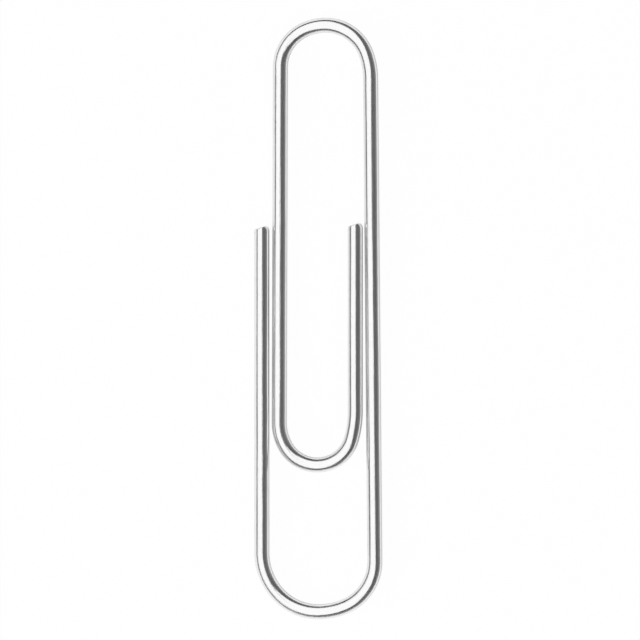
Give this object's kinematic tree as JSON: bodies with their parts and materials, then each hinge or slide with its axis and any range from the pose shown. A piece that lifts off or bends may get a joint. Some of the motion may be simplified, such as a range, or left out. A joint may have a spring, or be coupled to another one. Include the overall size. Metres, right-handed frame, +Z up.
{
  "type": "paper clip",
  "caption": "Flat paper clip of bright plated steel wire, bent into nested loops with rounded ends, whose springy tongue lifts to grip a stack of paper.",
  "frame": {"origin": "on the surface the clip lies on, under the middle of its length and width", "axes": "+X across the clip towards the long leg, +Y along the clip towards the top bend, +Z up out of the clip's plane"},
  "size_m": [0.0106, 0.05, 0.0012],
  "materials": {
    "plated_wire": "bright nickel plating on drawn steel wire"
  },
  "bodies": {
    "outer_loop": {"bottom_bend_right": "plated_wire", "long_leg": "plated_wire", "top_bend_right": "plated_wire"},
    "tongue": {"top_bend_left": "plated_wire", "tongue_leg": "plated_wire", "inner_bend_left": "plated_wire"},
    "inner_end": {"inner_bend_right": "plated_wire", "inner_leg": "plated_wire"},
    "outer_end": {"bottom_bend_left": "plated_wire", "outer_leg": "plated_wire"}
  },
  "joints": [
    {"name": "tongue_spring", "type": "hinge", "parent": "outer_loop", "child": "tongue", "pos_m": [0.0006, 0.02438, 0.00063], "axis": [-1, 0, 0], "range_deg": [0, 9], "stiffness_Nm_per_rad": 0.75},
    {"name": "outer_end_spring", "type": "hinge", "parent": "outer_loop", "child": "outer_end", "pos_m": [0, -0.02438, 0.00063], "axis": [1, 0, 0], "range_deg": [0, 6], "stiffness_Nm_per_rad": 1.1},
    {"name": "inner_end_spring", "type": "hinge", "parent": "tongue", "child": "inner_end", "pos_m": [-0.00009, -0.01218, 0.00063], "axis": [1, 0, 0], "range_deg": [0, 4], "stiffness_Nm_per_rad": 1.6}
  ]
}
